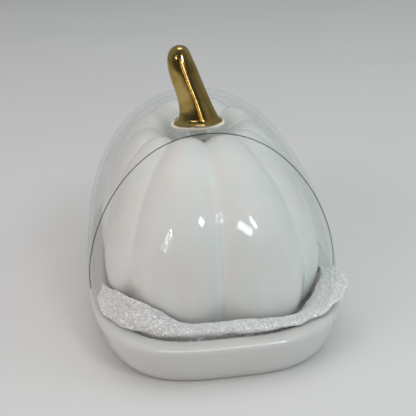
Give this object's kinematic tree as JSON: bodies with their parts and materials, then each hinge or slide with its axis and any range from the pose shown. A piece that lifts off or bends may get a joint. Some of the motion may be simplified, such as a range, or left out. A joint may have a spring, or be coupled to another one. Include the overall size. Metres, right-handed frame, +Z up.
{
  "type": "covered ceramic pumpkin",
  "caption": "Ribbed white ceramic pumpkin on an oblong glazed tray, under a clear dimpled lift-off cover with a gilt stem handle.",
  "frame": {"origin": "centre of the underside of the tray, on the table", "axes": "+Z up; +Y along the length of the tray, towards the rear; +X across it, so the front faces -Y"},
  "size_m": [0.1126, 0.1922, 0.1156],
  "materials": {
    "tray_glaze": "gloss",
    "pumpkin_glaze": "gloss",
    "foam": "open-cell foam, sparkling",
    "clear": "clear, polished",
    "clear_collar": "clear, polished",
    "gilt": "polished gilt",
    "stud": "plain",
    "gasket": "translucent, soft",
    "nut": "polished"
  },
  "bodies": {
    "base": {"tray": "tray_glaze", "liner_sheet": "foam"},
    "pumpkin": {"pumpkin_body": "pumpkin_glaze"},
    "cover": {"cover_dome": "clear", "stem_collar": "clear_collar", "stem_handle": "gilt", "handle_stud": "stud", "collar_gasket": "gasket", "nut_gasket": "gasket", "cap_nut": "nut"}
  },
  "joints": [
    {"name": "cover_lift", "type": "slide", "parent": "base", "child": "cover", "axis": [0, 0, 1], "range_m": [0, 0.13]},
    {"name": "pumpkin_lift", "type": "slide", "parent": "base", "child": "pumpkin", "axis": [0, 0, 1], "range_m": [0, 0.0585]}
  ],
  "couplings": [
    {"joint": "pumpkin_lift", "follows": "cover_lift", "ratio": 0.45}
  ]
}
